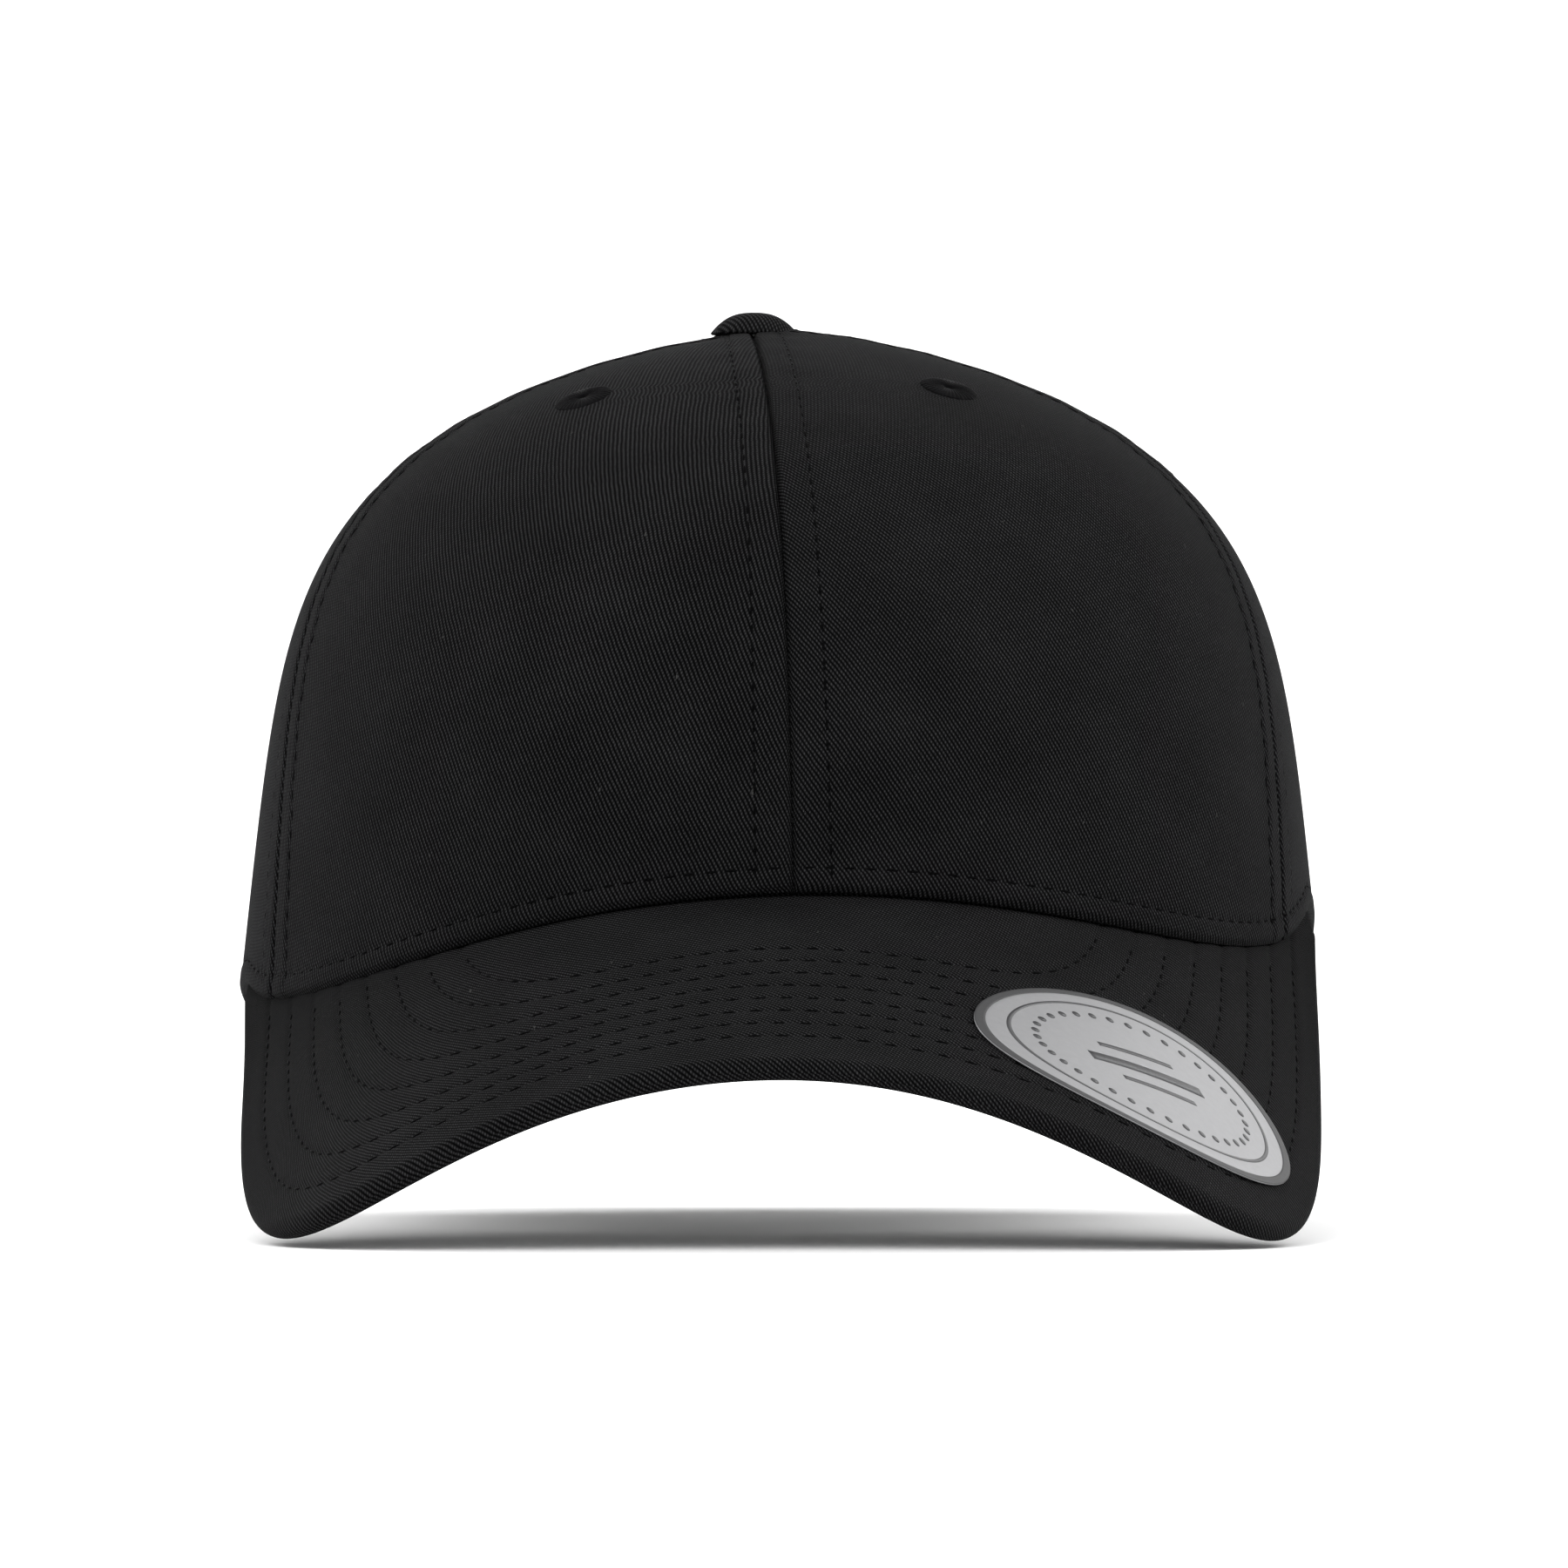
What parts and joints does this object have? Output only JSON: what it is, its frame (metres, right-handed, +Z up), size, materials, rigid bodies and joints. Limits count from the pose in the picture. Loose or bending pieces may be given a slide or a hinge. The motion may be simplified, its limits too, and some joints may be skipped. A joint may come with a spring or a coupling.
{
  "type": "baseball cap",
  "caption": "Structured baseball cap with a curved stitched visor, covered button, sewn eyelets and a snap closure at the rear.",
  "frame": {"origin": "level with the visor's tips, below the middle of the head opening", "axes": "+X to the wearer's left, visor towards -Y, +Z up"},
  "size_m": [0.171, 0.2579, 0.1445],
  "materials": {
    "twill": "black cotton twill, matt with a soft sheen",
    "thread": "black polyester embroidery thread",
    "buckram": "stiff white woven backing, matt",
    "tape": "black plain-weave tape",
    "button_metal": "plain stamped steel",
    "sweatband": "black twill over a thin pad",
    "visor_board": "moulded polyethylene",
    "foil": "satin foil film with a dark grey rim",
    "strap_plastic": "moulded flexible plastic, satin",
    "satin": "white satin ribbon"
  },
  "bodies": {
    "crown": {"front_panel_left": "twill", "side_panel_left": "twill", "rear_panel_left": "twill", "rear_panel_right": "twill", "side_panel_right": "twill", "front_panel_right": "twill", "eyelet_front_left": "thread", "eyelet_side_left": "thread", "eyelet_rear_left": "thread", "eyelet_rear_right": "thread", "eyelet_side_right": "thread", "eyelet_front_right": "thread", "buckram_left": "buckram", "buckram_right": "buckram", "seam_tape_front": "tape", "seam_tape_side_left": "tape", "seam_tape_rear_left": "tape", "seam_tape_back": "tape", "seam_tape_rear_right": "tape", "seam_tape_side_right": "tape", "button_cover": "twill", "button_shell": "button_metal", "button_tack": "button_metal", "sweatband": "sweatband", "arch_tape": "tape", "visor_board": "visor_board", "visor_top_cover": "twill", "visor_under_cover": "twill", "visor_sticker": "foil", "hole_strap_root": "strap_plastic", "peg_strap_root": "strap_plastic"},
    "hole_strap": {"hole_strap": "strap_plastic"},
    "peg_strap": {"peg_strap": "strap_plastic"},
    "care_label": {"care_label": "satin"}
  },
  "joints": [
    {"name": "hole_strap_peel", "type": "hinge", "parent": "crown", "child": "hole_strap", "pos_m": [0.0402, 0.0862, 0.0312], "axis": [0, 0, -1], "range_deg": [0, 75], "stiffness_Nm_per_rad": 0.02},
    {"name": "peg_strap_peel", "type": "hinge", "parent": "crown", "child": "peg_strap", "pos_m": [-0.03866, 0.08351, 0.0312], "axis": [0, 0, -1], "range_deg": [0, 30], "stiffness_Nm_per_rad": 0.02},
    {"name": "label_swing", "type": "hinge", "parent": "crown", "child": "care_label", "pos_m": [0.05592, 0.04274, 0.10567], "axis": [-0.6018, 0.7986, 0], "range_deg": [-3, 70]}
  ]
}
